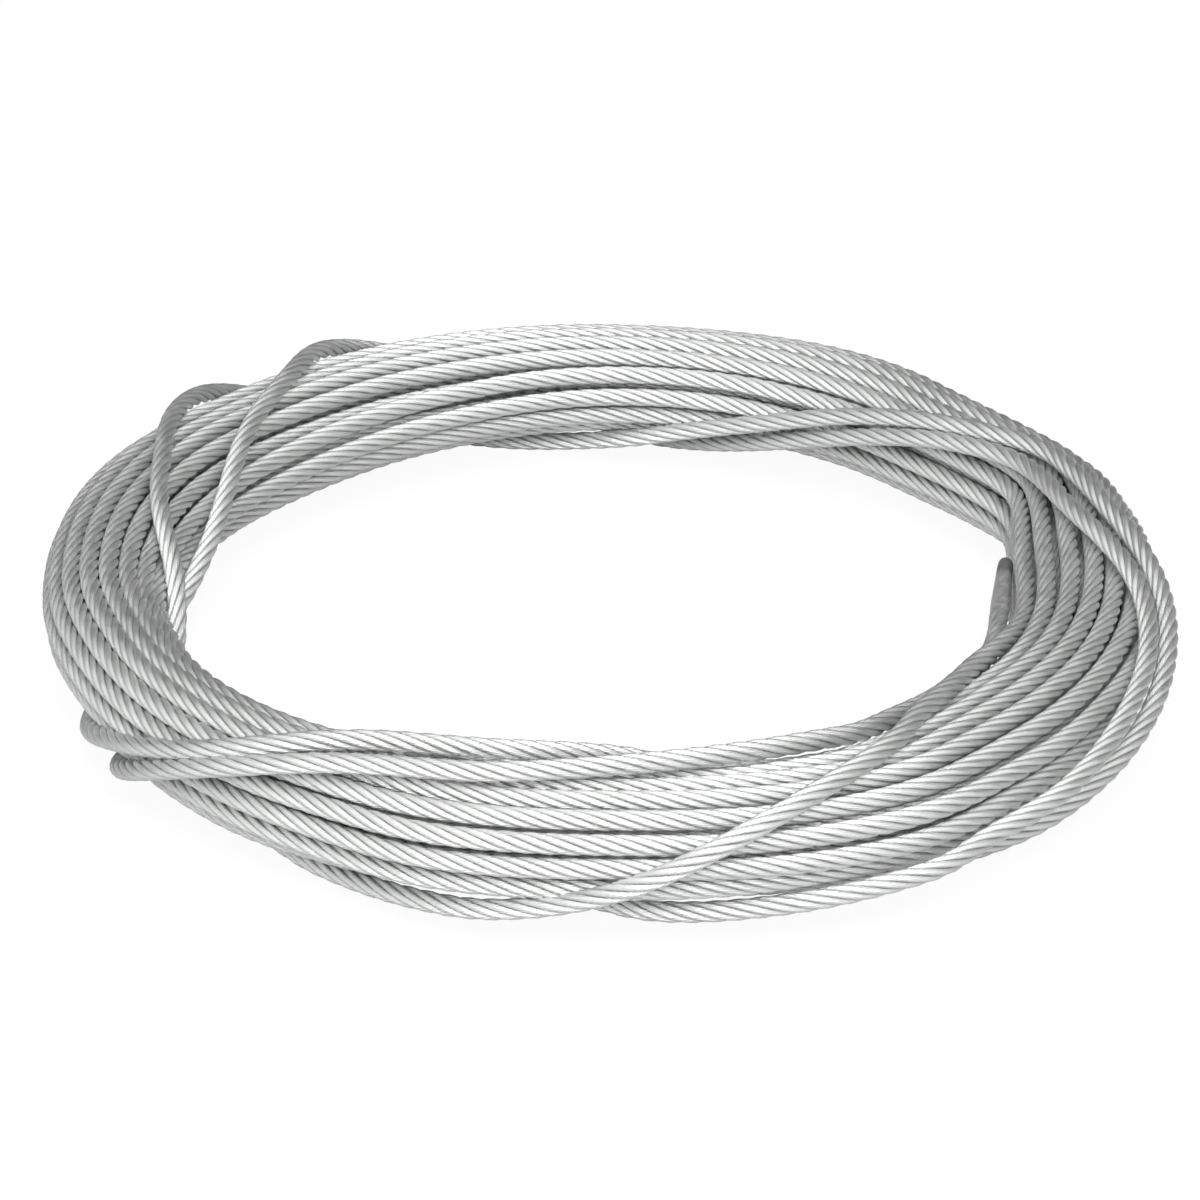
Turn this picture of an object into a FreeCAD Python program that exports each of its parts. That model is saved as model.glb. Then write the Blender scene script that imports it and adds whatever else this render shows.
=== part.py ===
import FreeCAD, Part
import Sketcher
import math
import os

# A loose coil of steel wire rope, lying flat, with one cut end in sight.
#
# Frame: millimetres, +Z up, the ground at Z = 0, the coil's axis upright. The rope is wound
# anticlockwise seen from above. A place on the coil is given by two angles in degrees:
#   turn  round the upright axis: 0 at +X, 90 at +Y, 180 at -X, 270 at -Y
#   roll  round the coil's own section: 0 outside, 90 on top, 180 inside, 270 underneath
# Both go on past 360, so that one list follows the rope several times round.

doc = FreeCAD.newDocument("wire_rope_coil")

# ---------------------------------------------------------------- driving dimensions

SIZES = [
    ("rope_dia", 6.0, "diameter of the rope over its strands"),
    ("strand_dia", 1.87, "diameter of one outer strand"),
    ("lay_length", 37.2, "length in which a strand goes once round the rope"),
    ("strand_gap", 0.01, "clearance between the core strand and the outer strands"),
    ("coil_radius", 149.0, "radius of the coil's middle line"),
    ("coil_half_width", 20.8, "half the width of the coil's section"),
    ("coil_half_height", 17.2, "half the height of the coil's section"),
    ("turn_spacing", 6.6, "least spacing of the coil's outer turns, round its section"),
    ("groove_depth", 2.0, "depth of the grooves between the coil's outer turns"),
    ("seat_gap", 0.3, "clearance of the binding turns on the coil"),
    ("arc_allowance", 0.5, "what a tube's arcs take off between its route points"),
    ("route_step", 14.0, "spacing of the route points on the coil"),
    ("rise_length", 42.0, "length in which a turn rises out of the coil"),
    ("clamp_run", 22.0, "straight plain run for a clip or ferrule"),
    ("strand_run", 12.0, "length of the strands in sight behind the tip"),
    ("tip_length", 13.4, "length of the fused tip"),
    ("tip_dia", 5.2, "diameter of the fused tip"),
    ("tip_round", 2.3, "rounding of the fused tip"),
    ("centre_x", 0.0, "the coil's axis from the origin, along X"),
    ("centre_y", 3.2, "the coil's axis from the origin, along Y"),
]
OUTER_STRANDS = 6

sheet = doc.addObject("Spreadsheet::Sheet", "Dimensions")


def set_size(row, alias, value, note):
    """Puts one plain number into the sheet under its alias."""
    sheet.set("A%d" % row, alias)
    sheet.set("B%d" % row, str(value))
    sheet.set("C%d" % row, note)
    sheet.setAlias("B%d" % row, alias)


for row, (alias, value, note) in enumerate(SIZES, start=1):
    set_size(row, alias, value, note)
doc.recompute()


def size(alias):
    """A dimension, read from the sheet."""
    return float(sheet.get(alias))


# How far the middle line of a turn that lies on the coil stands off its surface.
STAND_OFF = size("rope_dia") / 2 + size("seat_gap") + size("arc_allowance")

# ---------------------------------------------------------------- the rope's route

CORNER_SHARE = 0.45  # how much of the shorter run beside a corner its arc takes
PLACES_PER_DEGREE = 4  # how finely a route is followed when its points are spaced out
OUTLINE_PLACES = 720  # how finely the coil's section is followed when its turns are spaced out

# (turn, roll) of the rope's last two and a bit turns, which go round the coil and bind it.
BINDING_ROUTE = [
    (622, 295), (640, 315), (660, 340), (680, 365), (700, 400), (720, 450), (737, 480),
    (755, 505), (772, 540), (785, 570), (797, 605), (820, 685), (838, 755), (851, 815),
    (870, 860), (892, 910), (903, 955), (914, 1000), (931, 1065), (948, 1120), (964, 1170),
    (982, 1200), (996, 1240), (1008, 1300), (1022, 1360), (1040, 1405), (1062, 1460),
    (1085, 1515), (1104, 1550), (1122, 1580), (1150, 1635), (1165, 1665), (1180, 1700),
    (1202, 1770), (1220, 1840), (1238, 1890), (1258, 1930), (1277, 2025), (1293, 2120),
    (1308, 2180), (1325, 2230), (1345, 2250), (1365, 2275), (1385, 2300), (1404, 2320),
]
# From there the tail goes on along the inside of the coil, and ends straight.
TAIL_ROUTE = [(1411, 2327), (1419, 2333)]
TAIL_AIM = (1446, 2342)
# An earlier turn that crosses the top of the coil from the outside to the inside.
CROSSING_ROUTE = [
    (226, -70), (238, -60), (250, -50), (262, -35), (270, -5), (280, 35), (293, 75),
    (308, 110), (326, 140), (346, 150), (360, 155),
]
# The nodes along the binding route: each name, with the turn at which that stretch ends.
BINDING_STRETCHES = [
    ("right_binding_1", 772),
    ("back_underpass_1", 826),
    ("left_binding_1", 890),
    ("left_underpass_1", 926),
    ("front_binding_1", 990),
    ("front_underpass", 1038),
    ("right_binding_2", 1152),
    ("back_underpass_2", 1204),
    ("left_binding_2", 1264),
    ("left_underpass_2", 1304),
    ("front_binding_2", 1385),
    ("tail", TAIL_AIM[0]),
]
# The same for the crossing turn.
CROSSING_STRETCHES = [
    ("front_crossing_low", 282),
    ("front_crossing_high", 360),
]


def smooth_roll(knots, turn):
    """The roll at a turn, on a smooth curve through the knots."""
    last = len(knots) - 1
    i = max(k for k in range(last) if knots[k][0] <= turn or k == 0)

    def slope(k):
        before, after = knots[max(k - 1, 0)], knots[min(k + 1, last)]
        return (after[1] - before[1]) / (after[0] - before[0])

    (turn_0, roll_0), (turn_1, roll_1) = knots[i], knots[i + 1]
    span = turn_1 - turn_0
    u = (turn - turn_0) / span
    return (
        (2 * u**3 - 3 * u**2 + 1) * roll_0
        + (u**3 - 2 * u**2 + u) * slope(i) * span
        + (3 * u**2 - 2 * u**3) * roll_1
        + (u**3 - u**2) * slope(i + 1) * span
    )


def on_coil(turn, roll, stand_off=STAND_OFF):
    """The point that stands off the coil at these two angles, from the coil's centre."""
    reach = size("coil_half_width") + stand_off
    rise = size("coil_half_height") + stand_off
    out = size("coil_radius") + reach * math.cos(math.radians(roll))
    return FreeCAD.Vector(
        out * math.cos(math.radians(turn)),
        out * math.sin(math.radians(turn)),
        rise * math.sin(math.radians(roll)),
    )


def risen(distance):
    """How far a turn stands off, so far along from where it starts inside the coil."""
    u = min(distance / size("rise_length"), 1.0)
    depth = STAND_OFF + size("rope_dia")
    return STAND_OFF - depth * (1 - u * u * (3 - 2 * u))


def even_points(knots, rises, sinks):
    """Evenly spaced route points along the smooth curve through the knots.

    A route that rises starts inside the coil, and one that sinks ends there. Returns
    (turn, point) pairs.
    """
    first, last = knots[0][0], knots[-1][0]
    count = round(PLACES_PER_DEGREE * (last - first))
    turns = [first + (last - first) * i / count for i in range(count + 1)]
    rolls = [smooth_roll(knots, turn) for turn in turns]
    points = [on_coil(turn, roll) for turn, roll in zip(turns, rolls)]
    travelled = [0.0]
    for here, there in zip(points, points[1:]):
        travelled.append(travelled[-1] + here.distanceToPoint(there))
    length = travelled[-1]
    steps = round(length / size("route_step"))
    chosen = []
    for k in range(steps + 1):
        i = min(range(count + 1), key=lambda j: abs(travelled[j] - length * k / steps))
        stand_off = STAND_OFF
        if rises:
            stand_off = min(stand_off, risen(travelled[i]))
        if sinks:
            stand_off = min(stand_off, risen(length - travelled[i]))
        chosen.append((turns[i], on_coil(turns[i], rolls[i], stand_off)))
    return chosen


def bend(before, corner, after):
    """The arc that rounds a corner of the route: its start, middle, end and radius."""
    back, ahead = before - corner, after - corner
    run = CORNER_SHARE * min(back.Length, ahead.Length)
    back.normalize()
    ahead.normalize()
    half_turn = (math.pi - back.getAngle(ahead)) / 2
    radius = run / math.tan(half_turn)
    inward = (back + ahead).normalize()
    middle = corner + inward * (radius / math.cos(half_turn) - radius)
    return corner + back * run, middle, corner + ahead * run, radius


def route_wire(points, first, last):
    """Straight runs and tangent arcs through points[first..last].

    An end that falls inside the list stops at the middle of its run, where the next
    stretch of the same rope begins. Returns the wire and its smallest radius.
    """
    start = points[first] if first == 0 else (points[first - 1] + points[first]) / 2
    end = points[last] if last == len(points) - 1 else (points[last] + points[last + 1]) / 2
    edges, radii = [], []
    here = start
    for i in range(max(first, 1), min(last, len(points) - 2) + 1):
        arc_start, middle, arc_end, radius = bend(points[i - 1], points[i], points[i + 1])
        edges.append(Part.LineSegment(here, arc_start).toShape())
        edges.append(Part.Arc(arc_start, middle, arc_end).toShape())
        radii.append(radius)
        here = arc_end
    edges.append(Part.LineSegment(here, end).toShape())
    return Part.Wire(edges), min(radii, default=math.inf)


binding = even_points(BINDING_ROUTE, rises=True, sinks=False)
crossing = even_points(CROSSING_ROUTE, rises=True, sinks=True)
binding += [(turn, on_coil(turn, roll)) for turn, roll in TAIL_ROUTE]

# The tail's straight end: the tube's plain run, then the strands in sight, then the tip.
last_corner = binding[-1][1]
tail_axis = (on_coil(*TAIL_AIM) - last_corner).normalize()
last_run = CORNER_SHARE * last_corner.distanceToPoint(binding[-2][1])
plain_end = last_corner + tail_axis * (last_run + size("clamp_run"))
binding.append((TAIL_AIM[0], plain_end))

# The coil rests on the turns that pass under it, so the lowest of them sets its height.
whole_route, smallest_radius = route_wire([point for _, point in binding], 0, len(binding) - 1)
coil_height = size("rope_dia") / 2 - whole_route.BoundBox.ZMin
set_size(len(SIZES) + 1, "coil_height", coil_height, "height of the coil's middle line")
doc.recompute()
to_place = FreeCAD.Vector(size("centre_x"), size("centre_y"), size("coil_height"))
binding = [(turn, point + to_place) for turn, point in binding]
crossing = [(turn, point + to_place) for turn, point in crossing]
plain_end += to_place

# ---------------------------------------------------------------- builders

swept = []  # every swept tube, with the length of its route
cuts = []  # every tube that is cut off where it goes into the coil


def turned_from_z(direction):
    """The rotation that takes +Z to a direction."""
    return FreeCAD.Rotation(FreeCAD.Vector(0, 0, 1), direction)


def rope_tube(label, wire):
    """A plain round tube of the rope's diameter, swept along a wire."""
    route = doc.addObject("Part::Feature", label + "_route")
    route.Shape = wire
    first = wire.Edges[0]
    section = doc.addObject("Part::Circle", label + "_section")
    section.setExpression("Radius", "Dimensions.rope_dia / 2")
    section.Placement = FreeCAD.Placement(
        first.valueAt(first.FirstParameter),
        turned_from_z(first.tangentAt(first.FirstParameter)),
    )
    tube = doc.addObject("Part::Sweep", label)
    tube.Sections = [section]
    tube.Spine = (route, ["Edge%d" % (k + 1) for k in range(len(wire.Edges))])
    tube.Solid = True
    tube.Frenet = False
    swept.append((tube, wire.Length))
    return tube


def cut_from(label, base, tool):
    """One solid less another."""
    cut = doc.addObject("Part::Cut", label)
    cut.Base = base
    cut.Tool = tool
    cuts.append(cut)
    return cut


def inside_coil(point):
    """Whether a point lies within the section of the coil."""
    out = math.hypot(point.x - size("centre_x"), point.y - size("centre_y"))
    across = (out - size("coil_radius")) / size("coil_half_width")
    up = (point.z - size("coil_height")) / size("coil_half_height")
    return math.hypot(across, up) < 1


def coil_outline():
    """The outline of the coil's section: a rounded ridge for each of its outer turns."""
    radius = size("rope_dia") / 2
    across, up = size("coil_half_width") - radius, size("coil_half_height") - radius
    rolls = [2 * math.pi * i / OUTLINE_PLACES for i in range(OUTLINE_PLACES + 1)]
    middles = [FreeCAD.Vector(across * math.cos(a), 0, up * math.sin(a)) for a in rolls]
    travelled = [0.0]
    for here, there in zip(middles, middles[1:]):
        travelled.append(travelled[-1] + here.distanceToPoint(there))
    ridges = int(travelled[-1] / size("turn_spacing"))
    reach = math.acos(1 - size("groove_depth") / radius)
    arcs = []
    for k in range(ridges):
        there = travelled[-1] * k / ridges
        i = min(range(OUTLINE_PLACES), key=lambda j: abs(travelled[j] - there))
        facing = math.atan2(across * math.sin(rolls[i]), up * math.cos(rolls[i]))
        arcs.append([
            middles[i] + FreeCAD.Vector(radius * math.cos(a), 0, radius * math.sin(a))
            for a in (facing - reach, facing, facing + reach)
        ])
    edges = []
    for arc, following in zip(arcs, arcs[1:] + arcs[:1]):
        edges.append(Part.Arc(*arc).toShape())
        edges.append(Part.LineSegment(arc[-1], following[0]).toShape())
    return Part.Wire(edges)


def turned_full_circle(label, section):
    """A closed solid: a section beside the coil's axis, turned full circle round it."""
    section.setExpression("Placement.Base.x", "Dimensions.centre_x + Dimensions.coil_radius")
    section.setExpression("Placement.Base.y", "Dimensions.centre_y")
    section.setExpression("Placement.Base.z", "Dimensions.coil_height")
    turned = doc.addObject("Part::Revolution", label)
    turned.Source = section
    turned.Axis = FreeCAD.Vector(0, 0, 1)
    turned.Base = FreeCAD.Vector(size("centre_x"), size("centre_y"), 0)
    turned.Angle = 360
    turned.Solid = True
    return turned


def make_coil():
    """The closed outer shape of the coil's main turns, with their ridges."""
    section = doc.addObject("Part::Feature", "coil_section")
    section.Shape = coil_outline()
    return turned_full_circle("coil_main_turns", section)


def make_envelope():
    """The smooth oval ring that the ridges touch: a turn that leaves the coil starts on it."""
    section = doc.addObject("Part::Ellipse", "envelope_section")
    width, height = "Dimensions.coil_half_width", "Dimensions.coil_half_height"
    section.setExpression("MajorRadius", "max(%s; %s)" % (width, height))
    section.setExpression("MinorRadius", "min(%s; %s)" % (width, height))
    upright = FreeCAD.Rotation(FreeCAD.Vector(1, 0, 0), 90)
    tall = size("coil_half_height") > size("coil_half_width")
    long_way = FreeCAD.Rotation(FreeCAD.Vector(0, 0, 1), 90 if tall else 0)
    section.Placement = FreeCAD.Placement(FreeCAD.Vector(), upright * long_way)
    return turned_full_circle("envelope", section)


def make_turns(route, stretches, envelope):
    """The tubes along a route, one node to a stretch. An end inside the coil is cut off."""
    points = [point for _, point in route]
    tubes = []
    first = 0
    for label, end_turn in stretches:
        last = max(i for i, (turn, _) in enumerate(route) if turn <= end_turn)
        wire, radius = route_wire(points, first, last)
        print("%s: %.0f mm long, smallest radius %.1f mm" % (label, wire.Length, radius))
        if inside_coil(wire.Vertexes[0].Point) or inside_coil(wire.Vertexes[-1].Point):
            tubes.append(cut_from(label, rope_tube(label + "_whole", wire), envelope))
        else:
            tubes.append(rope_tube(label, wire))
        first = last + 1
    return tubes


def make_strands():
    """The core strand and the outer strands laid round it, in sight behind the tip."""
    axis = turned_from_z(tail_axis)
    strand_radius = size("strand_dia") / 2
    lay_radius = size("rope_dia") / 2 - strand_radius
    core = doc.addObject("Part::Cylinder", "core_strand")
    core.setExpression(
        "Radius",
        "Dimensions.rope_dia / 2 - Dimensions.strand_dia - Dimensions.strand_gap",
    )
    core.setExpression("Height", "Dimensions.strand_run")
    core.Placement = FreeCAD.Placement(plain_end, axis)
    strands = [core]
    overrun = size("rope_dia")
    for k in range(OUTER_STRANDS):
        label = "outer_strand_%d" % (k + 1)
        start = FreeCAD.Placement(
            plain_end - tail_axis * overrun,
            axis * FreeCAD.Rotation(FreeCAD.Vector(0, 0, 1), 360 * k / OUTER_STRANDS),
        )
        helix = doc.addObject("Part::Helix", label + "_helix")
        helix.setExpression("Pitch", "Dimensions.lay_length")
        helix.setExpression("Height", "Dimensions.strand_run + 2 * Dimensions.rope_dia")
        helix.setExpression("Radius", "(Dimensions.rope_dia - Dimensions.strand_dia) / 2")
        helix.Placement = start
        along = FreeCAD.Vector(0, 2 * math.pi * lay_radius, size("lay_length"))
        section = doc.addObject("Part::Circle", label + "_section")
        section.setExpression("Radius", "Dimensions.strand_dia / 2")
        section.Placement = start * FreeCAD.Placement(
            FreeCAD.Vector(lay_radius, 0, 0), turned_from_z(along)
        )
        whole = doc.addObject("Part::Sweep", label + "_whole")
        whole.Sections = [section]
        whole.Spine = (helix, ["Edge1"])
        whole.Solid = True
        whole.Frenet = True
        stretch = doc.addObject("Part::Cylinder", label + "_stretch")
        stretch.setExpression("Radius", "Dimensions.rope_dia")
        stretch.setExpression("Height", "Dimensions.strand_run")
        stretch.Placement = FreeCAD.Placement(plain_end, axis)
        strand = doc.addObject("Part::Common", label)
        strand.Base = whole
        strand.Tool = stretch
        strands.append(strand)
    return strands


def make_tip():
    """The blunt end where the cut strands are fused together."""
    body = doc.addObject("PartDesign::Body", "fused_tip")
    sketch = body.newObject("Sketcher::SketchObject", "tip_sketch")
    plane = [f for f in body.Origin.OriginFeatures if f.Role == "XY_Plane"][0]
    sketch.AttachmentSupport = [(plane, "")]
    sketch.MapMode = "FlatFace"
    circle = Part.Circle(FreeCAD.Vector(), FreeCAD.Vector(0, 0, 1), size("tip_dia") / 2)
    sketch.addGeometry(circle, False)
    sketch.addConstraint(Sketcher.Constraint("Coincident", 0, 3, -1, 1))
    sketch.addConstraint(Sketcher.Constraint("Diameter", 0, size("tip_dia")))
    sketch.setExpression("Constraints[1]", "Dimensions.tip_dia")
    pad = body.newObject("PartDesign::Pad", "tip_pad")
    pad.Profile = sketch
    pad.setExpression("Length", "Dimensions.tip_length")
    doc.recompute()
    top = max(range(len(pad.Shape.Edges)), key=lambda i: pad.Shape.Edges[i].CenterOfMass.z)
    rounding = body.newObject("PartDesign::Fillet", "tip_rounding")
    rounding.Base = (pad, ["Edge%d" % (top + 1)])
    rounding.setExpression(
        "Radius",
        "min(Dimensions.tip_round; 0.45 * Dimensions.tip_dia; 0.9 * Dimensions.tip_length)",
    )
    body.Placement = FreeCAD.Placement(
        plain_end + tail_axis * size("strand_run"), turned_from_z(tail_axis)
    )
    return body


# ---------------------------------------------------------------- build, check and write

VOLUME_TOLERANCE = 0.002
UNCUT_SHARE = 0.99  # a tube that keeps more of its volume than this wasn't cut off

envelope = make_envelope()
pieces = [make_coil()]
pieces += make_turns(crossing, CROSSING_STRETCHES, envelope)
pieces += make_turns(binding, BINDING_STRETCHES, envelope)
pieces += make_strands() + [make_tip()]
doc.recompute()

for thing in doc.Objects:
    if "Invalid" in thing.State or "Error" in thing.State:
        raise RuntimeError("%s failed to build: %s" % (thing.Label, thing.State))
for piece in pieces:
    if piece.Shape.isNull() or not piece.Shape.isValid() or len(piece.Shape.Solids) != 1:
        raise RuntimeError("%s is not one valid solid" % piece.Label)
for tube, length in swept:
    expected = math.pi * (size("rope_dia") / 2) ** 2 * length
    if abs(tube.Shape.Volume / expected - 1) > VOLUME_TOLERANCE:
        raise RuntimeError("%s has the wrong volume" % tube.Label)
for cut in cuts:
    if cut.Shape.Volume > UNCUT_SHARE * cut.Base.Shape.Volume:
        raise RuntimeError("%s was not cut off at the coil" % cut.Label)

os.makedirs("parts", exist_ok=True)
for piece in pieces:
    piece.Shape.exportStep("parts/%s.step" % piece.Label)

whole = FreeCAD.BoundBox()
for piece in pieces:
    whole.add(piece.Shape.optimalBoundingBox(True, False))
print("smallest radius on the binding route: %.1f mm" % smallest_radius)
print("box: X %.2f..%.2f Y %.2f..%.2f Z %.2f..%.2f" % (
    whole.XMin, whole.XMax, whole.YMin, whole.YMax, whole.ZMin, whole.ZMax
))
print("plain end at", plain_end, "pointing", tail_axis)
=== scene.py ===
"""A wire rope sling: one steel wire rope, wound into a ring and bound with its own outer end.

The whole rope is one NURBS spline. Its main turns are settled beside each other inside the
CAD coil. Its outer end and the crossing follow the route points of the CAD tubes, many of them
moved after the photograph. Six outer strands and a core strand are laid along that spline.
"""

import math

import bpy
import numpy as np
from mathutils import Matrix, Vector


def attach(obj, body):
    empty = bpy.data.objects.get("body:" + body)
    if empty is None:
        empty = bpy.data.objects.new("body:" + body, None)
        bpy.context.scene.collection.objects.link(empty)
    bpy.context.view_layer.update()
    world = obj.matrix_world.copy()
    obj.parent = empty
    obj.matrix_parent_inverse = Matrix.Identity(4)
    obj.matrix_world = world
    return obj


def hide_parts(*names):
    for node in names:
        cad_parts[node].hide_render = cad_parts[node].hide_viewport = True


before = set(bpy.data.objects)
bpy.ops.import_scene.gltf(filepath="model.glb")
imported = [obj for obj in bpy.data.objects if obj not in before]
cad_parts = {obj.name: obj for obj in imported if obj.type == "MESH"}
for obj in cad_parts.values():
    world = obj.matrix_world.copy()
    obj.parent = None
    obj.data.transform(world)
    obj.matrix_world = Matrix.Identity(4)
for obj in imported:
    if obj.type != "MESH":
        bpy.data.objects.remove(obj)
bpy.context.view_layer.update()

MM = 0.001

# The rope. Lengths are in metres, apart from what a comment says is in millimetres.
ROPE_DIA = 6 * MM
LAY_LENGTH = 37.2 * MM
OUTER_STRANDS = 6
STRAND_RADIUS = 0.99 * MM
STRAND_HELIX = 2.01 * MM
CORE_RADIUS = 1.03 * MM
STRAND_SIDES = 10
CORE_SIDES = 6
STRAND_END = 4 * MM

# The coil: the size and place of its oval section, and how a route lies on it
COIL_RADIUS = 149 * MM
COIL_HALF_WIDTH = 20.8 * MM
COIL_HALF_HEIGHT = 17.2 * MM
COIL_CENTRE_Y = 3.2 * MM
COIL_HEIGHT = 23.85 * MM
STAND_OFF = 3.2 * MM
ROUTE_STEP = 14 * MM
RISE_LENGTH = 42 * MM
PLACES_PER_DEGREE = 4
RING_HALF_SIZE = np.array([COIL_HALF_WIDTH, COIL_HALF_HEIGHT]) - ROPE_DIA / 2

# (turn, roll) in degrees. A turn of 0 is at +X and runs anticlockwise seen from above. A roll
# of 0 is the outside of the coil, 90 its top, 180 its inside and 270 its underneath. The routes
# are those of the CAD tubes, with points moved and a few added after the photograph.
BINDING_ROUTE = [
    (622, 295), (640, 315), (660, 340), (680, 365), (700, 400), (720, 450), (737, 480),
    (755, 505), (772, 540), (785, 570), (797, 605), (820, 685), (838, 750), (851, 803),
    (861, 829), (871, 852), (882, 881), (893, 913), (903, 955), (914, 1000), (931, 1068),
    (948, 1122), (964, 1178), (982, 1207), (996, 1240), (1008, 1300), (1022, 1360),
    (1040, 1405), (1062, 1460), (1085, 1515), (1104, 1550), (1122, 1580), (1150, 1635),
    (1165, 1665), (1180, 1700), (1202, 1770), (1220, 1840), (1238, 1894), (1258, 1938),
    (1276, 2018), (1291, 2115), (1306, 2180), (1324, 2230), (1345, 2250), (1365, 2275),
    (1385, 2299), (1404, 2315),
]
TAIL_ROUTE = [(1411, 2321), (1419, 2326), (1428, 2331)]
TAIL_AIM = (1446, 2335)
TAIL_RUN = 26.5 * MM
CORNER_SHARE = 0.45
CROSSING_ROUTE = [
    (226, -76), (238, -67), (250, -52), (262, -35), (270, -5), (280, 35), (293, 75),
    (308, 110), (326, 136), (346, 148), (360, 155),
]
# The crossing comes this many degrees earlier along the rope than its own list says, and from
# this turn of its list on it lies loose among the main turns again.
CROSSING_EARLIER = 5 * 360
CROSSING_LOOSE = 334

# (turn, inner, outer, under): how many millimetres further in, out and down than an even oval
# the coil's turns lie there. Set after the coil's outline in the photograph.
SECTION_EDGES = np.array([
    (3, 7, 0.5, 2), (12, 0.5, 3.7, 2), (20, -7, 3.5, 2), (30, -4, -1.5, 2.5), (40, -1.5, -2.5, 2.5),
    (48, -2, 3, 2), (54, -2, 4, 2), (62, -1.5, 4.5, 1), (75, -1.7, 0, 0), (85, 2, 0, 0),
    (92, 2, 0.4, 0), (112, 8.5, 2, 0), (123, 8.8, 2, 1), (135, 9, 0, 2), (150, 5.5, 3.5, 2.5),
    (165, 2.3, 3, 1.5), (180, -2, 0.4, 0), (190, -5, 0.2, 0), (200, -4.5, -1.5, 0.5),
    (213, -7, -2, 1.5), (228, -3.5, -1, 2.5), (240, 0.5, -0.5, 2.5), (247, 1.8, 2, 2),
    (256, 3.7, 4, 2), (264, 4, -0.5, 1.5), (271, 4.5, 1.3, 1), (290, 0.5, 5, 0.5), (300, 0, 7, 0),
    (306, 3.6, 2.4, 0), (312, 5.2, 4.3, 0), (325, 6.9, 2, -1), (332, 4, 1.5, -1),
    (340, 5.4, 1, -1), (354, 8, 0.6, 1),
])

# (turn, how much): how many millimetres the crossing and the binding rope press in between the
# coil's turns.
PRESSED_IN = np.array([
    (226, 0.8), (305, 0.8), (328, 2.5), (360, 2.5), (620, 0.8), (640, 1.2), (690, 1.2), (710, 0),
    (838, 0.5), (858, 0.5), (870, 0), (906, 0), (918, 1.6), (934, 1.6), (950, 0), (1218, 0),
    (1228, 1.2), (1242, 1.2), (1256, 0), (1372, 0), (1386, 2.5), (1396, 4), (1412, 3.2),
    (1420, 2), (1428, 1.8), (1446, 5),
])

# The main turns lie on nested rings of the coil's section. Going back along the rope from the
# crossing, they roll round the outer ring, then round the middle one, and the innermost lie
# side by side. Rolls are in degrees.
RING_INSET = 5.4 * MM
OUTER_ROLL_BEFORE = 150
OUTER_ROLL_AFTER = -70
OUTER_ROLL_PER_TURN = 24
OUTER_TURNS = (OUTER_ROLL_BEFORE - OUTER_ROLL_AFTER) / OUTER_ROLL_PER_TURN
MIDDLE_TURNS = 10
MIDDLE_ROLL_PER_TURN = 36
INNER_TURNS = 3
INNER_SPACING = 6.2 * MM
RING_CHANGE = 0.3  # of a turn, in which a turn passes from one ring to the next
# The loose turns after the crossing stop this much short of the binding route's first roll,
# which keeps them clear of the start of the crossing.
APPROACH_ROLL = -28
GRID_STEP = 10  # degrees between the points of a loose turn

# How the loose turns settle: they push each other apart, straighten, keep near their first
# places for a while and stay inside the section.
TURN_SPACING = 1.02 * ROPE_DIA
SPREAD_SPACING = 1.35 * ROPE_DIA
SPREAD_SHARE = 0.08
SETTLE_ROUNDS = 900
PUSH_SHARE = 0.7
STRAIGHTENED_FIRST = 0.25
STRAIGHTENED_LATE = 0.08
LATE_FROM = 0.8  # of all rounds
KEPT_NEAR = 0.01
KEPT_NEAR_UNTIL = 0.6  # of all rounds
PULLED_INSIDE = 0.8
NO_DISTANCE = 1e-9  # keeps a division by zero away

# The seeded sideways wander of the loose turns
WANDER = 1.6 * MM
WANDER_SPAN = 9
WANDER_SEED = 4


def smooth_roll(knots, turn):
    """The roll at a turn, on a smooth curve through the knots."""
    last = len(knots) - 1
    i = max(k for k in range(last) if knots[k][0] <= turn or k == 0)

    def slope(k):
        before, after = knots[max(k - 1, 0)], knots[min(k + 1, last)]
        return (after[1] - before[1]) / (after[0] - before[0])

    (turn_0, roll_0), (turn_1, roll_1) = knots[i], knots[i + 1]
    span = turn_1 - turn_0
    u = (turn - turn_0) / span
    return (
        (2 * u**3 - 3 * u**2 + 1) * roll_0
        + (u**3 - 2 * u**2 + u) * slope(i) * span
        + (3 * u**2 - 2 * u**3) * roll_1
        + (u**3 - u**2) * slope(i + 1) * span
    )


def in_section(roll, stand_off):
    """How far out and up from the middle of the coil's section a place that stands off is."""
    roll = np.radians(roll)
    out = (COIL_HALF_WIDTH + stand_off) * np.cos(roll)
    up = (COIL_HALF_HEIGHT + stand_off) * np.sin(roll)
    return np.stack([out, up], -1)


def in_space(turn, place):
    """The points in space of places in the coil's section."""
    turn = np.radians(turn)
    reach = COIL_RADIUS + place[..., 0]
    return np.stack([
        reach * np.cos(turn),
        COIL_CENTRE_Y + reach * np.sin(turn),
        COIL_HEIGHT + place[..., 1],
    ], -1)


def formed(turns, places, sags):
    """Places in the even oval moved to where the rope really lies in the coil's section."""
    inner, outer, under = (
        np.interp(turns % 360, SECTION_EDGES[:, 0], side, period=360) * MM
        for side in SECTION_EDGES[:, 1:].T
    )
    under = under * sags
    shift = np.stack([outer - inner, -under], -1) / 2
    widening = np.stack([outer + inner, under], -1) / (2 * RING_HALF_SIZE)
    reach = np.linalg.norm(places / RING_HALF_SIZE, axis=1)
    return places + shift + widening * places / np.maximum(reach, 1)[:, None]


def smooth_step(u):
    """A share from 0 to 1 that starts and ends level."""
    u = np.clip(u, 0, 1)
    return u * u * (3 - 2 * u)


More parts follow.
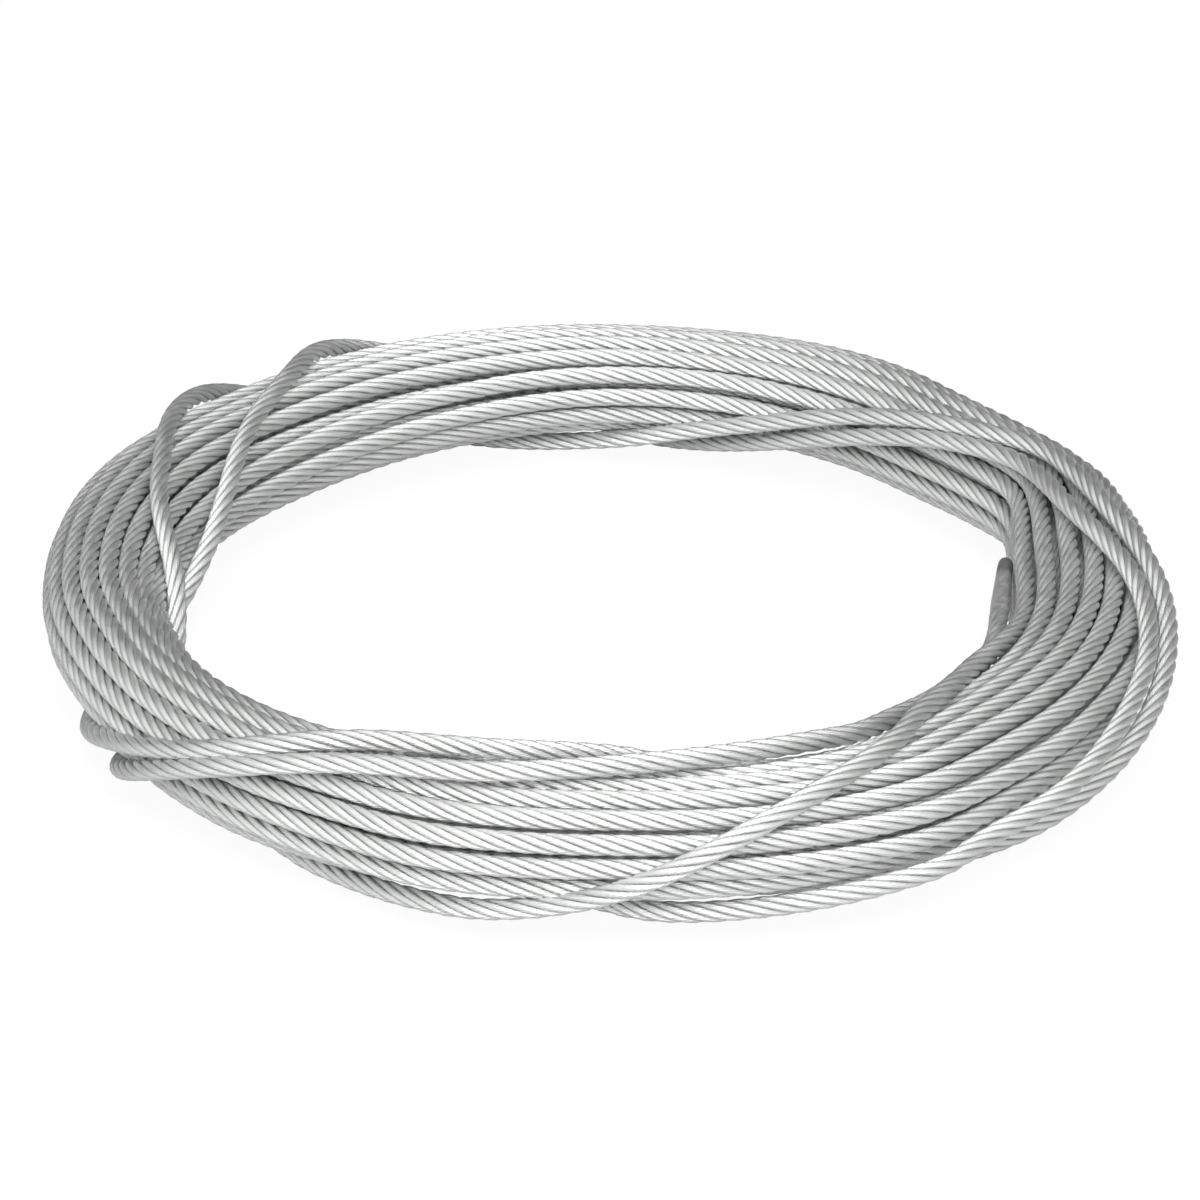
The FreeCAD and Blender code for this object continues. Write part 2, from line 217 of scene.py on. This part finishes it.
def risen(distance):
    """How far a turn stands off, so far along from where it leaves the coil's outer ring."""
    depth = STAND_OFF + ROPE_DIA / 2
    return STAND_OFF - depth * (1 - smooth_step(distance / RISE_LENGTH))


def standing_off(turns):
    """How far the middle of the crossing or the binding rope stands off the coil's section."""
    return STAND_OFF - np.interp(turns, PRESSED_IN[:, 0], PRESSED_IN[:, 1]) * MM


def even_points(knots):
    """(turns, places) evenly spaced along a route, which rises out of the coil at its start."""
    first, last = knots[0][0], knots[-1][0]
    turns = np.linspace(first, last, round(PLACES_PER_DEGREE * (last - first)) + 1)
    rolls = np.array([smooth_roll(knots, turn) for turn in turns])
    points = in_space(turns, in_section(rolls, STAND_OFF))
    travelled = lengths_along(points)
    length = travelled[-1]
    steps = round(length / ROUTE_STEP)
    chosen = [int(np.abs(travelled - length * k / steps).argmin()) for k in range(steps + 1)]
    stand_off = np.minimum(standing_off(turns[chosen]), risen(travelled[chosen]))
    return turns[chosen], in_section(rolls[chosen], stand_off)


def lengths_along(points):
    """How far along a line of points each one is."""
    steps = np.linalg.norm(np.diff(points, axis=0), axis=1)
    return np.concatenate([[0], np.cumsum(steps)])


def on_ring(ring, roll):
    """The place of a turn's middle on one of the section's nested rings."""
    return in_section(roll, -ROPE_DIA / 2 - ring * RING_INSET)


def first_layout(turns, crossing_turns, binding_start):
    """Where each main turn goes round the section before the turns settle."""
    back = (crossing_turns[0] - turns) / 360
    outer = on_ring(0, OUTER_ROLL_AFTER + OUTER_ROLL_PER_TURN * back)
    back = back - OUTER_TURNS
    middle = on_ring(1, OUTER_ROLL_BEFORE + MIDDLE_ROLL_PER_TURN * back)
    places = mixed(outer, middle, back)
    back = back - MIDDLE_TURNS
    across = INNER_SPACING * (np.clip(back, 0, INNER_TURNS) - 1)
    places = mixed(places, np.stack([across, 0 * across], -1), back)
    ahead = turns > crossing_turns[-1]
    rolls = np.interp(
        turns[ahead],
        [crossing_turns[-1], binding_start],
        [CROSSING_ROUTE[-2][1], BINDING_ROUTE[0][1] + APPROACH_ROLL],
    )
    places[ahead] = on_ring(0, rolls)
    return places


def mixed(before, after, turns_past):
    """Places that change over from one ring to the next within part of a turn."""
    share = smooth_step(turns_past / RING_CHANGE + 0.5)[:, None]
    return before * (1 - share) + after * share


def wander(count):
    """A slow seeded sideways wander, so that no two turns lie quite alike."""
    random = np.random.default_rng(WANDER_SEED)
    window = np.hanning(WANDER_SPAN + 2)
    knots = random.normal(0, 1, (count // WANDER_SPAN + 3, 2))
    marks = np.arange(len(knots)) * WANDER_SPAN
    drift = [
        np.convolve(np.interp(np.arange(count), marks, side), window / window.sum(), "same")
        for side in knots.T
    ]
    return WANDER * np.stack(drift, -1)


def pushes(grid, share):
    """How far the other turns push each turn, in each section of the coil."""
    apart = grid[:, None] - grid[None]
    distance = np.sqrt((apart**2).sum(-1)) + NO_DISTANCE
    overlap = np.clip(TURN_SPACING - distance, 0, None) * share
    spread = SPREAD_SHARE * np.clip(SPREAD_SPACING - distance, 0, None) * share
    push = (apart * ((overlap + spread) / distance)[..., None]).sum(1)
    return push / np.sqrt(np.maximum((overlap > 0).sum(1), 1))[..., None]


def settled(turns, places, free):
    """The free turns pushed apart until they lie beside each other inside the coil."""
    held = formed(turns, places, sags=False)[~free]
    per_turn = 360 // GRID_STEP
    count = len(places)
    rows = math.ceil(count / per_turn)
    spare = rows * per_turn - count
    live = np.pad(np.ones(count, bool), (0, spare)).reshape(rows, per_turn)
    loose = np.pad(free, (0, spare)).reshape(rows, per_turn)
    both = live[:, None] & live[None] & ~np.eye(rows, dtype=bool)[:, :, None]
    share = np.where(loose[None], 0.5, 1.0) * both
    wanted = places.copy()
    for k in range(SETTLE_ROUNDS):
        lying = formed(turns, places, sags=True)
        lying[~free] = held
        grid = np.pad(lying, ((0, spare), (0, 0))).reshape(rows, per_turn, 2)
        move = PUSH_SHARE * pushes(grid, share).reshape(-1, 2)[:count]
        straighter = (places[:-2] + places[2:]) / 2 - places[1:-1]
        late = k > LATE_FROM * SETTLE_ROUNDS
        move[1:-1] += (STRAIGHTENED_LATE if late else STRAIGHTENED_FIRST) * straighter
        if k < KEPT_NEAR_UNTIL * SETTLE_ROUNDS:
            move += KEPT_NEAR * (wanted - places)
        places[free] += move[free]
        reach = np.linalg.norm(places / RING_HALF_SIZE, axis=1)
        pull = 1 / (1 + PULLED_INSIDE * np.clip(reach - 1, 0, None))
        places[free] *= pull[free, None]
    return places


def crossing_route():
    """(turns, places) of the crossing, up to where it lies loose again."""
    turns, places = even_points(CROSSING_ROUTE)
    kept = turns <= CROSSING_LOOSE
    return turns[kept] - CROSSING_EARLIER, places[kept]


def binding_route():
    """(turns, places) of the binding rope with its tail."""
    turns, places = even_points(BINDING_ROUTE)
    tail_turns, tail_rolls = np.array(TAIL_ROUTE + [TAIL_AIM]).T
    tail = in_section(tail_rolls, standing_off(tail_turns))
    return np.append(turns, tail_turns), np.vstack([places, tail])


def loose_turns(crossing_turns, crossing, binding_turns, binding):
    """(turns, places) of all the rope, and which of them no route holds, after settling."""
    start = crossing_turns[0] - 360 * OUTER_TURNS - 360 * (MIDDLE_TURNS + INNER_TURNS)
    start = GRID_STEP * math.ceil(start / GRID_STEP)
    turns = np.arange(start, binding_turns[-1] + GRID_STEP, GRID_STEP)
    places = first_layout(turns, crossing_turns, binding_turns[0])
    free = np.ones(len(turns), bool)
    for route_turns, route in ((crossing_turns, crossing), (binding_turns, binding)):
        on_route = (turns >= route_turns[0]) & (turns <= route_turns[-1])
        on_route |= turns > binding_turns[-1]
        for side in (0, 1):
            places[on_route, side] = np.interp(turns[on_route], route_turns, route[:, side])
        free[on_route] = False
    places[free] += wander(len(turns))[free]
    return turns, settled(turns, places, free), free


def with_straight_end(points):
    """The points with the last one, the tail's aim, brought to where the rope ends."""
    before, corner, aim = points[-3:]
    ahead = (aim - corner) / np.linalg.norm(aim - corner)
    run = CORNER_SHARE * np.linalg.norm(corner - before) + TAIL_RUN
    return np.vstack([points[:-1], corner + ahead * run])


def rope_points():
    """The control points of the whole rope, from its hidden end to its fused one."""
    crossing_turns, crossing = crossing_route()
    binding_turns, binding = binding_route()
    turns, places, free = loose_turns(crossing_turns, crossing, binding_turns, binding)
    margin = GRID_STEP / 2
    before = free & (turns < crossing_turns[0] - margin)
    between = free & (turns > crossing_turns[-1] + margin) & (turns < binding_turns[0] - margin)
    places = formed(turns, places, sags=True)
    crossing = formed(crossing_turns, crossing, sags=False)
    binding = formed(binding_turns, binding, sags=False)
    return np.vstack([
        in_space(turns[before], places[before]),
        in_space(crossing_turns, crossing),
        in_space(turns[between], places[between]),
        with_straight_end(in_space(binding_turns, binding)),
    ])


SPLINE_RESOLUTION = 12


def spline_points(points):
    """Points along one smooth NURBS spline with these control points."""
    curve = bpy.data.curves.new("rope_line", "CURVE")
    curve.dimensions = "3D"
    curve.resolution_u = SPLINE_RESOLUTION
    spline = curve.splines.new("NURBS")
    spline.points.add(len(points) - 1)
    spline.points.foreach_set("co", np.pad(points, ((0, 0), (0, 1)), constant_values=1).ravel())
    spline.order_u = 3
    spline.use_endpoint_u = True
    carrier = bpy.data.objects.new("rope_line", curve)
    bpy.context.scene.collection.objects.link(carrier)
    bpy.context.view_layer.update()
    graph = bpy.context.evaluated_depsgraph_get()
    mesh = bpy.data.meshes.new_from_object(carrier.evaluated_get(graph))
    line = np.zeros(3 * len(mesh.vertices))
    mesh.vertices.foreach_get("co", line)
    bpy.data.objects.remove(carrier)
    bpy.data.curves.remove(curve)
    bpy.data.meshes.remove(mesh)
    return line.reshape(-1, 3)


def placed_along(line, distances):
    """Points at distances along the line, and two directions across it at each."""
    travelled = lengths_along(line)
    points = np.stack([np.interp(distances, travelled, line[:, k]) for k in range(3)], -1)
    tangents = np.gradient(points, distances, axis=0)
    tangents /= np.linalg.norm(tangents, axis=1)[:, None]
    up = np.array([0, 0, 1.0]) - tangents * tangents[:, 2:]
    up /= np.linalg.norm(up, axis=1)[:, None]
    side = np.cross(tangents, up)
    return points, up, side


def tube_mesh(name, rings, along):
    """A closed tube through rings of points, with its UV map along and round it."""
    count, around = rings.shape[:2]
    here = np.arange(count - 1)[:, None] * around
    j = np.arange(around)
    ahead = (j + 1) % around
    quads = np.stack([here + j, here + ahead, here + around + ahead, here + around + j], -1)
    caps = np.concatenate([j[::-1], (count - 1) * around + j])
    corners = np.concatenate([quads.ravel(), caps])
    sides = np.concatenate([np.full(quads.size // 4, 4), [around, around]])
    starts = np.concatenate([[0], np.cumsum(sides)[:-1]])
    mesh = bpy.data.meshes.new(name)
    mesh.vertices.add(count * around)
    mesh.vertices.foreach_set("co", rings.ravel())
    mesh.loops.add(len(corners))
    mesh.loops.foreach_set("vertex_index", corners)
    mesh.polygons.add(len(sides))
    mesh.polygons.foreach_set("loop_start", starts)
    mesh.polygons.foreach_set("use_smooth", np.ones(len(sides), bool))
    along_here = np.broadcast_to(along[:-1, None], (count - 1, around))
    along_next = np.broadcast_to(along[1:, None], (count - 1, around))
    u = np.stack([along_here, along_here, along_next, along_next], -1)
    v = np.broadcast_to(np.stack([j, j + 1, j + 1, j], -1) / around, u.shape)
    caps_uv = np.zeros((2 * around, 2))
    uv = np.concatenate([np.stack([u, v], -1).reshape(-1, 2), caps_uv])
    layer = mesh.uv_layers.new(name="lay")
    layer.data.foreach_set("uv", uv.ravel())
    mesh.update(calc_edges=True)
    mesh.validate()
    piece = bpy.data.objects.new(name, mesh)
    bpy.context.scene.collection.objects.link(piece)
    return piece


def laid_strand(name, line, distances, helix, radius, phase, around):
    """A strand laid round the line with a right-hand lay, or along it when helix is 0."""
    points, up, side = placed_along(line, distances)
    turned = 2 * math.pi * distances / LAY_LENGTH + phase
    outward = np.cos(turned)[:, None] * up + np.sin(turned)[:, None] * side
    from_end = np.minimum(distances, lengths_along(line)[-1] - distances)
    taper = np.interp(from_end, TAPER_AT, TAPER)[:, None]
    centre = points + helix * taper * outward
    forward = np.gradient(centre, distances, axis=0)
    forward /= np.linalg.norm(forward, axis=1)[:, None]
    across = np.cross(forward, outward)
    across /= np.linalg.norm(across, axis=1)[:, None]
    angle = 2 * math.pi * np.arange(around) / around
    rings = centre[:, None] + radius * taper[:, None] * (
        np.cos(angle)[None, :, None] * outward[:, None]
        + np.sin(angle)[None, :, None] * across[:, None]
    )
    return tube_mesh(name, rings, distances)


def tip_skin(name, line, at_start):
    """The fused skin of one end: a rounded cap, then a skin that sinks between the strands."""
    from_end = np.concatenate([
        np.interp(np.linspace(0, 1, SKIN_CAP_RINGS), SKIN_CAP_SHARE, SKIN_CAP_AT),
        np.arange(SKIN_CAP_AT[-1] + FIRST_SKIN_STEP, SKIN_AT[-1], SKIN_STEP),
    ])
    distances = from_end
    if not at_start:
        from_end = from_end[::-1]
        distances = lengths_along(line)[-1] - from_end
    radius = np.interp(from_end, SKIN_AT, SKIN)
    points, up, side = placed_along(line, distances)
    angle = 2 * math.pi * np.arange(SKIN_SIDES) / SKIN_SIDES
    turned = angle[None] - (2 * math.pi * distances / LAY_LENGTH)[:, None]
    depth = np.interp(from_end, FLUTE_AT, FLUTE)
    reach = radius[:, None] + depth[:, None] * np.cos(OUTER_STRANDS * turned)
    rings = points[:, None] + reach[..., None] * (
        np.cos(angle)[None, :, None] * up[:, None] + np.sin(angle)[None, :, None] * side[:, None]
    )
    return tube_mesh(name, rings, from_end)


# The fused ends, by the distance from the end of the rope: the strands taper under the skin.
TAPER_AT = np.array([8, 14, 38]) * MM
TAPER = np.array([0.74, 0.80, 1.0])
SKIN_CAP_SHARE = np.array([0, 0.25, 0.5, 0.75, 1])
SKIN_CAP_AT = np.array([0, 0.18, 0.7, 1.7, 3.4]) * MM
SKIN_AT = np.array([0, 0.05, 0.2, 0.5, 1.0, 1.8, 3.0, 5.0, 9, 13, 20, 28, 34, 42, 50, 58, 66]) * MM
SKIN = np.array(
    [0.3, 0.9, 1.35, 1.7, 1.98, 2.2, 2.34, 2.42, 2.5, 2.56, 2.72, 2.86, 2.9, 2.72, 2.4, 2.0, 1.5]
) * MM
SKIN_SIDES = 48
SKIN_CAP_RINGS = 14
FIRST_SKIN_STEP = 0.5 * MM
SKIN_STEP = 0.75 * MM
FLUTE_AT = np.array([14, 34]) * MM
FLUTE = np.array([0, 0.08]) * MM

line = spline_points(rope_points())
rope_length = lengths_along(line)[-1]

# Strand rings lie closer together where the rope can be seen.
FINE_STEP = LAY_LENGTH / 16
COARSE_STEP = LAY_LENGTH / 8
hidden_length = (MIDDLE_TURNS + INNER_TURNS) * 2 * math.pi * COIL_RADIUS
stations = np.concatenate([
    np.arange(STRAND_END, hidden_length, COARSE_STEP),
    np.arange(hidden_length, rope_length - STRAND_END, FINE_STEP),
])
strands = [
    laid_strand(
        f"rope_strand_{k + 1}", line, stations, STRAND_HELIX, STRAND_RADIUS,
        2 * math.pi * k / OUTER_STRANDS, STRAND_SIDES,
    )
    for k in range(OUTER_STRANDS)
]
core = laid_strand("rope_core", line, stations, 0, CORE_RADIUS, 0, CORE_SIDES)
tip = tip_skin("rope_tip", line, at_start=False)
hidden_tip = tip_skin("rope_tip_inside", line, at_start=True)


# The steel's looks. A pattern is the scale and the detail of a noise, and a change is where in
# a value's range the smooth step between two looks starts and ends.
WIRES = 12
WIRE_RUN = 18.4 * MM
WIRE_HEIGHT = 0.09 * MM
WIRE_GRAIN = (1800, 1)
WIRE_GRAIN_SHARE = 0.3
NOISE_CHANGE = (0.3, 0.7)
ZINC_LIGHT = (0.775, 0.79, 0.782)
ZINC_DULL = (0.735, 0.75, 0.742)
ZINC_PATTERN = (90, 3)
ZINC_CHANGE = (0.35, 0.65)
# Painted shade, partly grease: each strand's flanks and the grooves between the strands are darkened
# in the colour, by a patchy amount.
GROOVE_DIRT_AND_SHADE = (0.46, 0.445, 0.42)
GROOVE_CHANGE = (0.05, 0.6)
DIRT_AND_SHADE_PATTERN = (45, 2)
DIRT_AND_SHADE_SHARE = (0.32, 0.44)
STRAND_METALLIC = 0.85
STRAND_SHINE_PATTERN = (260, 2)
STRAND_ROUGHNESS = (0.34, 0.46)
FUSED_LIGHT = (0.55, 0.555, 0.55)
FUSED_DARK = (0.27, 0.275, 0.275)
FUSED_PATTERN = (300, 3)
FUSED_MOTTLE = 4 * MM
FUSED_CHANGE = (11 * MM, 16 * MM)
FUSED_METALLIC = 0.8
FUSED_SHINE_PATTERN = (400, 2)
FUSED_ROUGHNESS = (0.42, 0.6)
FUSED_GRAIN = (900, 3)
FUSED_GRAIN_HEIGHT = 0.08 * MM


def add(tree, kind, inputs, **settings):
    """A new node; an input is a value, or the socket that feeds it."""
    node = tree.nodes.new(kind)
    for name, value in settings.items():
        setattr(node, name, value)
    for socket, value in inputs.items():
        if isinstance(value, bpy.types.NodeSocket):
            tree.links.new(value, node.inputs[socket])
        else:
            node.inputs[socket].default_value = value
    return node


def calc(tree, operation, *values):
    """The result of a sum on values or sockets."""
    return add(tree, "ShaderNodeMath", dict(enumerate(values)), operation=operation).outputs[0]


def ramp(tree, value, low, high, to_low=0.0, to_high=1.0):
    """The value's smooth change from to_low at low to to_high at high."""
    inputs = {"Value": value, 1: low, 2: high, 3: to_low, 4: to_high}
    return add(tree, "ShaderNodeMapRange", inputs, interpolation_type="SMOOTHSTEP").outputs[0]


def blend(tree, share, first, second):
    """A colour between two colours or sockets."""
    colours = {6: first, 7: second}
    inputs = {0: share}
    for socket, colour in colours.items():
        inputs[socket] = colour if isinstance(colour, bpy.types.NodeSocket) else (*colour, 1)
    return add(tree, "ShaderNodeMix", inputs, data_type="RGBA").outputs[2]


def noise(tree, scale, detail):
    """A noise over the object's own space."""
    place = add(tree, "ShaderNodeTexCoord", {}).outputs["Object"]
    inputs = {"Vector": place, "Scale": scale, "Detail": detail}
    return add(tree, "ShaderNodeTexNoise", inputs).outputs["Fac"]


def rope_places(tree):
    """How far along its rope and how far round its strand a place is, from the lay UV map."""
    lay = add(tree, "ShaderNodeUVMap", {}, uv_map="lay").outputs[0]
    split = add(tree, "ShaderNodeSeparateXYZ", {0: lay})
    return split.outputs[0], split.outputs[1]


def steel(name, colour, metallic, roughness, height, depth):
    """A steel material from its colour, its roughness and the height of its fine relief."""
    material = bpy.data.materials.new(name)
    material.use_nodes = True
    tree = material.node_tree
    tree.nodes.clear()
    inputs = {"Base Color": colour(tree), "Metallic": metallic, "Roughness": roughness(tree)}
    bump_inputs = {"Height": height(tree), "Distance": depth, "Strength": 1.0}
    inputs["Normal"] = add(tree, "ShaderNodeBump", bump_inputs).outputs[0]
    shader = add(tree, "ShaderNodeBsdfPrincipled", inputs)
    add(tree, "ShaderNodeOutputMaterial", {"Surface": shader.outputs[0]})
    return material


def groove(tree):
    """0 on a strand's crown and 1 where it touches the core."""
    _, around = rope_places(tree)
    turned = calc(tree, "COSINE", calc(tree, "MULTIPLY", around, 2 * math.pi))
    return calc(tree, "MULTIPLY_ADD", turned, -0.5, 0.5)


def strand_colour(tree):
    """Zinc in light and dull patches, darker in the grooves between the strands: partly grease,
    partly painted shade.
    """
    patches = ramp(tree, noise(tree, *ZINC_PATTERN), *ZINC_CHANGE)
    zinc = blend(tree, patches, ZINC_LIGHT, ZINC_DULL)
    # Painted shade, partly grease: the colour darkens from a strand's crown towards the grooves, by a
    # patchy amount.
    dirt_and_shade = ramp(tree, noise(tree, *DIRT_AND_SHADE_PATTERN), *NOISE_CHANGE, *DIRT_AND_SHADE_SHARE)
    share = calc(tree, "MULTIPLY", ramp(tree, groove(tree), *GROOVE_CHANGE), dirt_and_shade)
    return blend(tree, share, zinc, GROOVE_DIRT_AND_SHADE)


def strand_roughness(tree):
    return ramp(tree, noise(tree, *STRAND_SHINE_PATTERN), *NOISE_CHANGE, *STRAND_ROUGHNESS)


def strand_wires(tree):
    """The wires of a strand's outside, which run along the rope, and a fine grain."""
    along, around = rope_places(tree)
    turned = calc(tree, "MULTIPLY_ADD", along, 1 / WIRE_RUN, around)
    wire = calc(tree, "ABSOLUTE", calc(tree, "SINE", calc(tree, "MULTIPLY", turned, WIRES * math.pi)))
    return calc(tree, "MULTIPLY_ADD", noise(tree, *WIRE_GRAIN), WIRE_GRAIN_SHARE, wire)


def fused_colour(tree):
    """Dark at the melted cap and lighter up the skin."""
    along, _ = rope_places(tree)
    mottled = calc(tree, "MULTIPLY_ADD", noise(tree, *FUSED_PATTERN), FUSED_MOTTLE, along)
    share = ramp(tree, mottled, *FUSED_CHANGE)
    return blend(tree, share, FUSED_DARK, FUSED_LIGHT)


def fused_roughness(tree):
    return ramp(tree, noise(tree, *FUSED_SHINE_PATTERN), *NOISE_CHANGE, *FUSED_ROUGHNESS)


def fused_grain(tree):
    return noise(tree, *FUSED_GRAIN)


strand_steel = steel(
    "strand_steel", strand_colour, STRAND_METALLIC, strand_roughness, strand_wires, WIRE_HEIGHT
)
fused_steel = steel(
    "fused_steel", fused_colour, FUSED_METALLIC, fused_roughness, fused_grain, FUSED_GRAIN_HEIGHT
)
for pieces, material, slot in (
    (strands, strand_steel, "strand_steel"),
    ([core], strand_steel, "core_steel"),
    ([tip, hidden_tip], fused_steel, "fused_steel"),
):
    for piece in pieces:
        piece.data.materials.append(material)
        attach(piece, "root")

# Each strand stands for its CAD node, and the first of them for the solid turns as well.
own_nodes = [f"outer_strand_{k + 1}" for k in range(OUTER_STRANDS)] + ["core_strand", "fused_tip"]
for piece, node in zip(strands + [core, tip], own_nodes):
    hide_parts(node)
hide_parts(*(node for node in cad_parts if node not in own_nodes))


# The floor, the light and the camera
FLOOR_REACH = 6
FLOOR_GREY = (0.5, 0.5, 0.5)
FLOOR_GLOW = 1.07
GLOW_SHARE = 0.88
LAMPS = (
    # name, place, size, power
    ("front", (0.1, -1.5, 1.45), 1.4, 22),
    ("top", (0, -0.2, 2.0), 1.0, 6),
)
LAMP_AIM = (0, 0, 0)
BRIGHT_SIDE = (-0.15, -0.82, 0.55)
STUDIO_CHANGE = (-0.15, 0.35)
STUDIO_STRENGTHS = (0.02, 1.22)
CAMERA_AZIMUTH = -0.0415
CAMERA_ELEVATION = 0.5019
CAMERA_ROLL = 0.0159
CAMERA_DISTANCE = 1.22
CAMERA_TARGET = (-0.9, 2.4, 0)  # in millimetres
SENSOR_WIDTH = 36  # in millimetres, as is the lens
LENS = 119.24
LENS_SHIFT = 0.0432
NEAREST_SEEN = 0.05


def floor_material():
    """A pale floor that glows towards the camera alone, so that it is white and keeps shadow."""
    material = bpy.data.materials.new("floor")
    material.use_nodes = True
    tree = material.node_tree
    shader = tree.nodes["Principled BSDF"]
    shader.inputs["Base Color"].default_value = (*FLOOR_GREY, 1)
    shader.inputs["Roughness"].default_value = 1
    glow = add(tree, "ShaderNodeEmission", {"Strength": FLOOR_GLOW})
    seen_by_camera = add(tree, "ShaderNodeLightPath", {}).outputs["Is Camera Ray"]
    share = calc(tree, "MULTIPLY", seen_by_camera, GLOW_SHARE)
    mix_inputs = {0: share, 1: shader.outputs[0], 2: glow.outputs[0]}
    mix = add(tree, "ShaderNodeMixShader", mix_inputs)
    tree.links.new(mix.outputs[0], tree.nodes["Material Output"].inputs["Surface"])
    return material


def make_floor():
    reach = FLOOR_REACH
    corners = [(-reach, -reach, 0), (reach, -reach, 0), (reach, reach, 0), (-reach, reach, 0)]
    mesh = bpy.data.meshes.new("floor")
    mesh.from_pydata(corners, [], [(0, 1, 2, 3)])
    mesh.materials.append(floor_material())
    floor = bpy.data.objects.new("floor", mesh)
    bpy.context.scene.collection.objects.link(floor)


def make_lamp(name, place, size, power):
    light = bpy.data.lights.new(name, "AREA")
    light.shape = "DISK"
    light.size = size
    light.energy = power
    lamp = bpy.data.objects.new(name, light)
    lamp.location = place
    towards = Vector(LAMP_AIM) - Vector(place)
    lamp.rotation_euler = towards.to_track_quat("-Z", "Y").to_euler()
    bpy.context.scene.collection.objects.link(lamp)


def make_world():
    """A white studio, bright in front, above and a little to the left, and dark behind."""
    world = bpy.data.worlds.new("studio")
    bpy.context.scene.world = world
    world.use_nodes = True
    tree = world.node_tree
    direction = add(tree, "ShaderNodeTexCoord", {}).outputs["Generated"]
    towards_front = add(
        tree, "ShaderNodeVectorMath", {0: direction, 1: BRIGHT_SIDE}, operation="DOT_PRODUCT"
    ).outputs["Value"]
    background = tree.nodes["Background"]
    background.inputs["Color"].default_value = (1, 1, 1, 1)
    strength = ramp(tree, towards_front, *STUDIO_CHANGE, *STUDIO_STRENGTHS)
    tree.links.new(strength, background.inputs["Strength"])


def make_camera():
    """The photograph's camera, fitted to the rope's outline in it."""
    camera_data = bpy.data.cameras.new("camera")
    camera_data.sensor_width = SENSOR_WIDTH
    camera_data.lens = LENS
    camera_data.shift_y = LENS_SHIFT
    camera_data.clip_start = NEAREST_SEEN
    camera = bpy.data.objects.new("camera", camera_data)
    back = Vector((
        math.sin(CAMERA_AZIMUTH) * math.cos(CAMERA_ELEVATION),
        -math.cos(CAMERA_AZIMUTH) * math.cos(CAMERA_ELEVATION),
        math.sin(CAMERA_ELEVATION),
    ))
    place = Matrix.Translation(Vector(CAMERA_TARGET) * MM + back * CAMERA_DISTANCE)
    turned = (-back).to_track_quat("-Z", "Y").to_matrix().to_4x4()
    camera.matrix_world = place @ turned @ Matrix.Rotation(CAMERA_ROLL, 4, "Z")
    bpy.context.scene.collection.objects.link(camera)
    bpy.context.scene.camera = camera


make_floor()
for lamp_settings in LAMPS:
    make_lamp(*lamp_settings)
make_world()
make_camera()
bpy.context.scene.view_settings.view_transform = "Standard"
